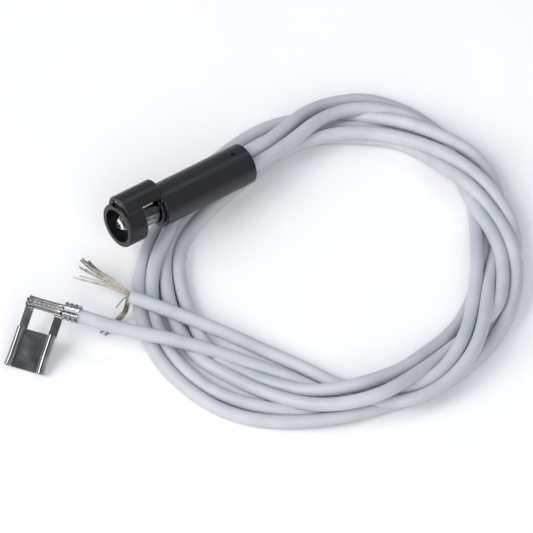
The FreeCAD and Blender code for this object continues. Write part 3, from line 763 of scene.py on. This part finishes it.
def along_x(x, section):
    """Rings that carry (across, up) sections along X."""
    section = np.broadcast_to(section, (len(x), *section.shape[-2:]))
    along = np.broadcast_to(x[:, None, None], (*section.shape[:2], 1))
    return np.concatenate([along, section], axis=-1)


def along_y(y, section):
    """Rings that carry (across, up) sections along Y."""
    return along_x(y, section)[..., (1, 0, 2)]


def rolled_sides(flag):
    """The receptacle: a floor whose two edges curl round and down over the tab, carried along Y.
    Towards the mouth the curls open by a sixth power, and a bell-shaped dimple stands on the
    floor, a little past the middle."""
    curl = np.radians(np.linspace(-35, 270, 26))
    left = np.column_stack([
        flag.left + flag.roll + flag.sheet / 2 + flag.roll * np.cos(curl),
        flag.floor + flag.roll + flag.roll * np.sin(curl)])
    middle = (flag.left + flag.right) / 2
    right = np.column_stack([2 * middle - left[::-1, 0], left[::-1, 1]])
    across = np.linspace(left[-1, 0], right[0, 0], 26)[1:-1]
    line = np.vstack([left, np.column_stack([across, 0 * across + flag.floor]), right])
    section = wall_section(line, flag.sheet)
    reach = np.linspace(0, 1, 30)
    dimple = -flag.drop - 0.55 * flag.length
    rings = along_y(-flag.drop - reach * flag.length, section)
    rings[..., 0] += flag.mouth_opening * reach[:, None] ** 6 * np.sign(rings[..., 0] - middle)
    off = np.hypot(rings[..., 0] - middle, rings[..., 1] - dimple)
    low = rings[..., 2] < flag.floor + flag.sheet
    rings[..., 2] += low * flag.dimple_height * np.exp(-(off / flag.dimple_width) ** 2)
    return rings


def conductor_barrel(flag):
    """The crimped barrel: a superellipse's outline carried along X. A bell-shaped fold runs along
    its top, where its two wings meet, and the ends open a tenth by the eighth power."""
    angle = np.linspace(0, 2 * math.pi, 48, endpoint=False)
    cos, sin = np.cos(angle), np.sin(angle)
    across = flag.barrel_half_width * np.sign(cos) * abs(cos) ** 0.75
    up = -flag.barrel_drop + flag.barrel_half_height * np.sign(sin) * abs(sin) ** 0.7
    up = up - (sin > 0) * flag.fold_depth * np.exp(-(across / flag.fold_width) ** 2)
    from_middle = np.linspace(-1, 1, 26)
    half = (flag.barrel_end - flag.barrel_start) / 2
    open_by = 1 + 0.1 * from_middle[:, None] ** 8
    section = np.stack([across * open_by, up * open_by], -1)
    return along_x(flag.barrel_start + half * (1 + from_middle), section)


def cable_grip(flag, radius):
    """The insulation grip: a wall that goes round the cable, but for a gap at the top, carried
    along X. Its radius rises and falls as a cosine, which gives its rings, and a bell curve folds
    its two edges in."""
    wrap = math.radians(168)  # from the bottom to each edge
    fade = 0.22  # radians over which the fold fades
    from_low = np.linspace(-wrap, wrap, 52)
    angle = from_low - math.pi / 2
    x = np.linspace(0, flag.grip_length, 34)[:, None]
    fold = flag.grip_fold * np.exp(-((abs(from_low) - wrap) / fade) ** 2)
    ripple = flag.grip_ring * np.cos(2 * math.pi * x / flag.grip_pitch)
    reach = radius + flag.sheet / 2 + ripple - fold
    line = np.stack([reach * np.cos(angle), reach * np.sin(angle)], -1)
    return along_x(x[:, 0], wall_section(line, flag.sheet))


class PROBE_OT_flag(bpy.types.Operator):
    """Build the flag receptacle and the conductor bared through its barrel.

    The sheet pieces are outlines carried along straight lines. The conductor is a circle with seven
    lobes that twist as they go along.
    """

    bl_idname = "probe.flag"
    bl_label = "Flag receptacle"

    def execute(self, context):
        scene = context.scene
        flag, strands = scene.probe_flag, scene.probe_strands

        def placed(rings):
            rings = turned(turned(rings, flag.tilt, "X"), flag.heading, "Z")
            return rings + np.array(TAIL_A[-1])

        spine = along_x(
            np.linspace(flag.left, flag.spine_end, 20), strip_section(flag.spine_width, flag.sheet))
        spine[..., 2] += flag.floor
        grip = cable_grip(flag, scene.probe_cable.radius)
        shapes = [spine, rolled_sides(flag), conductor_barrel(flag), grip]
        # Each leg runs from the spine's far edge into the floor between the rolled sides
        overlap = 0.0003
        down = np.linspace(flag.spine_width / 2, -flag.drop - overlap, 12)
        for middle in (flag.left + flag.leg_width / 2, flag.right - flag.leg_width / 2):
            leg = along_y(down, strip_section(flag.leg_width, flag.sheet))
            leg[..., 0] += middle
            leg[..., 2] += flag.floor
            shapes.append(leg)
        shapes = [placed(rings) for rings in shapes]
        piece = closed_tubes("flag_receptacle", shapes, tin_plated_brass())
        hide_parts("flag_terminal")

        past_barrel, into_cable = 0.0005, 0.0002
        turn_rate = 900  # radians in a metre
        lobe_count = 7
        angle = np.linspace(0, 2 * math.pi, 56, endpoint=False)
        x = np.linspace(flag.barrel_start - past_barrel, into_cable, 40)
        wave = abs(np.cos(lobe_count / 2 * (angle - turn_rate * x[:, None])))
        lobes = 1 - strands.lobe * (1 - wave)
        reach = strands.conductor * lobes
        wire = along_x(x, np.stack([reach * np.cos(angle), reach * np.sin(angle)], -1))
        piece = closed_tubes("bared_conductor", [placed(wire)], tinned_copper())
        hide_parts("terminal_conductor")
        return {"FINISHED"}


class PROBE_OT_strands(bpy.types.Operator):
    """Build the bare strands: each is a circle carried along its group's route.

    A strand keeps its place in a sunflower disc, whose radius goes from the bundle's, falling
    evenly, to the group's spread, rising with the power 1.6 of the way along. The disc flattens by
    0.3 towards the tips, and each strand has a sine wave of about one turn. Strands are cut back by
    up to six steps in turn, so the tips are uneven.
    """

    bl_idname = "probe.strands"
    bl_label = "Bare strands"

    def execute(self, context):
        strands = context.scene.probe_strands
        ring = np.linspace(0, 2 * math.pi, 8, endpoint=False)[:, None]
        shapes = []
        number = 0
        for count, spread, route in STRAND_GROUPS:
            line, way = even(np.array(route), strands.step)
            ahead = np.gradient(line, axis=0)
            ahead /= np.linalg.norm(ahead, axis=1, keepdims=True)
            across = np.cross(ahead, (0.2, 0.1, 1.0))
            across /= np.linalg.norm(across, axis=1, keepdims=True)
            up = np.cross(across, ahead)
            for strand in range(count):
                number += 1
                turn = SUNFLOWER * number
                place = math.sqrt((strand + 0.5) / count)
                wide = strands.bundle * (1 - way) + spread * way ** 1.6
                wave = strands.wave * way * np.sin(7 * way + 1.7 * number)
                aside = place * wide * math.cos(turn) + wave
                over = place * wide * math.sin(turn) * (1 - 0.3 * way)
                middle = line + aside[:, None] * across + over[:, None] * up
                wall = np.cos(ring) * across[:, None] + np.sin(ring) * up[:, None]
                cut_back = (5 * number) % 7
                shapes.append((middle[:, None] + strands.radius * wall)[:len(line) - cut_back])
        piece = closed_tubes("strands", shapes, tinned_copper())
        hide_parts("bare_strands")
        return {"FINISHED"}


class PROBE_OT_cables(bpy.types.Operator):
    """Lay both cables: out of the rear plug, round the coil and out to their ends"""

    bl_idname = "probe.cables"
    bl_label = "Cables"

    def execute(self, context):
        coil, cable = context.scene.probe_coil, context.scene.probe_cable
        silicone = extruded_silicone()
        routes = ((LEAD_A, TURNS_A, TAIL_A), (LEAD_B, TURNS_B, TAIL_B))
        turns = settle(coil, cable.radius, routes)
        for letter, (lead, _, tail), line in zip("ab", routes, turns):
            points = np.vstack([lead, line[KEEP_EVERY:-KEEP_EVERY:KEEP_EVERY], tail])
            piece = cable_curve("cable_" + letter, points, cable.radius, silicone)
            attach(piece, BODY)
            own = ["cable_" + letter + "_lead", "cable_" + letter + "_tail"]
            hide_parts(*own, "cable_coil")
            in_probe(CABLE_EXIT, lead[0][1])
            getattr(cable, "length_" + letter)
        return {"FINISHED"}


class PROBE_OT_stage(bpy.types.Operator):
    """Set the floor, the soft studio light and the camera"""

    bl_idname = "probe.stage"
    bl_label = "Stage"

    def execute(self, context):
        scene = context.scene
        bpy.ops.mesh.primitive_plane_add(size=6, location=(0, 0, FLOOR))
        floor = context.object
        floor.name = "floor"
        floor.data.materials.append(pale_paper())
        world = bpy.data.worlds.new("studio")
        world.use_nodes = True
        # Bright walls under a duller ceiling, as in a light tent with the camera's hole on top
        tree = world.node_tree
        sky = add_node(tree, "ShaderNodeTexCoord").outputs["Generated"]
        height = add_node(tree, "ShaderNodeSeparateXYZ", links={"Vector": sky}).outputs["Z"]
        shade = add_node(tree, "ShaderNodeValToRGB", links={"Fac": height})
        stops = shade.color_ramp.elements
        for place, colour in SKY:
            stop = stops.new(place)
            stop.color = linear(colour)
        stops.remove(stops[0])
        stops.remove(stops[-1])
        tree.links.new(shade.outputs["Color"], tree.nodes["Background"].inputs["Color"])
        tree.nodes["Background"].inputs["Strength"].default_value = SKY_STRENGTH
        scene.world = world
        scene.view_settings.view_transform = "Standard"
        for name, place, size, power, colour in LAMPS:
            light = bpy.data.lights.new(name, "AREA")
            light.size = size
            light.energy = power
            light.color = linear(colour)[:3]
            lamp = bpy.data.objects.new(name, light)
            scene.collection.objects.link(lamp)
            lamp.location = VIEW_MIDDLE + Vector(place)
            lamp.rotation_euler = (-Vector(place)).to_track_quat("-Z", "Y").to_euler()
        data = bpy.data.cameras.new("camera")
        data.sensor_width = SENSOR
        data.lens = SENSOR * VIEW_FAR / VIEW_WIDTH
        data.clip_end = 10
        camera = bpy.data.objects.new("camera", data)
        scene.collection.objects.link(camera)
        camera.location = VIEW_MIDDLE + VIEW_SIGHT * VIEW_FAR
        camera.rotation_euler = (-VIEW_SIGHT).to_track_quat("-Z", "Y").to_euler()
        scene.camera = camera
        return {"FINISHED"}


class PROBE_PT_panel(bpy.types.Panel):
    """The probe's operators and settings in the sidebar"""

    bl_label = "Flame Probe"
    bl_idname = "PROBE_PT_panel"
    bl_space_type = "VIEW_3D"
    bl_region_type = "UI"
    bl_category = "Flame Probe"

    def draw(self, context):
        for operator in OPERATORS:
            self.layout.operator(operator.bl_idname)
        for name, group in GROUPS.items():
            self.layout.separator()
            for setting in group.__annotations__:
                self.layout.prop(getattr(context.scene, name), setting)


GROUPS = {
    "probe_colours": ProbeColours, "probe_coil": ProbeCoil, "probe_cable": ProbeCable,
    "probe_glass": ProbeGlass, "probe_flag": ProbeFlag, "probe_strands": ProbeStrands,
}
OPERATORS = (
    PROBE_OT_finishes, PROBE_OT_glass, PROBE_OT_flag, PROBE_OT_strands, PROBE_OT_cables,
    PROBE_OT_stage,
)


def register():
    """Register the settings, the operators and the panel."""
    for kind in (*GROUPS.values(), *OPERATORS, PROBE_PT_panel):
        bpy.utils.register_class(kind)
    for name, group in GROUPS.items():
        setattr(bpy.types.Scene, name, PointerProperty(type=group))


def unregister():
    """Take the panel, the operators and the settings away again."""
    for name in GROUPS:
        delattr(bpy.types.Scene, name)
    for kind in reversed((*GROUPS.values(), *OPERATORS, PROBE_PT_panel)):
        bpy.utils.unregister_class(kind)


def main():
    """Build every piece in order."""
    register()
    bpy.ops.probe.finishes()
    bpy.ops.probe.glass()
    bpy.ops.probe.flag()
    bpy.ops.probe.strands()
    bpy.ops.probe.cables()
    bpy.ops.probe.stage()


if __name__ == "__main__":
    main()
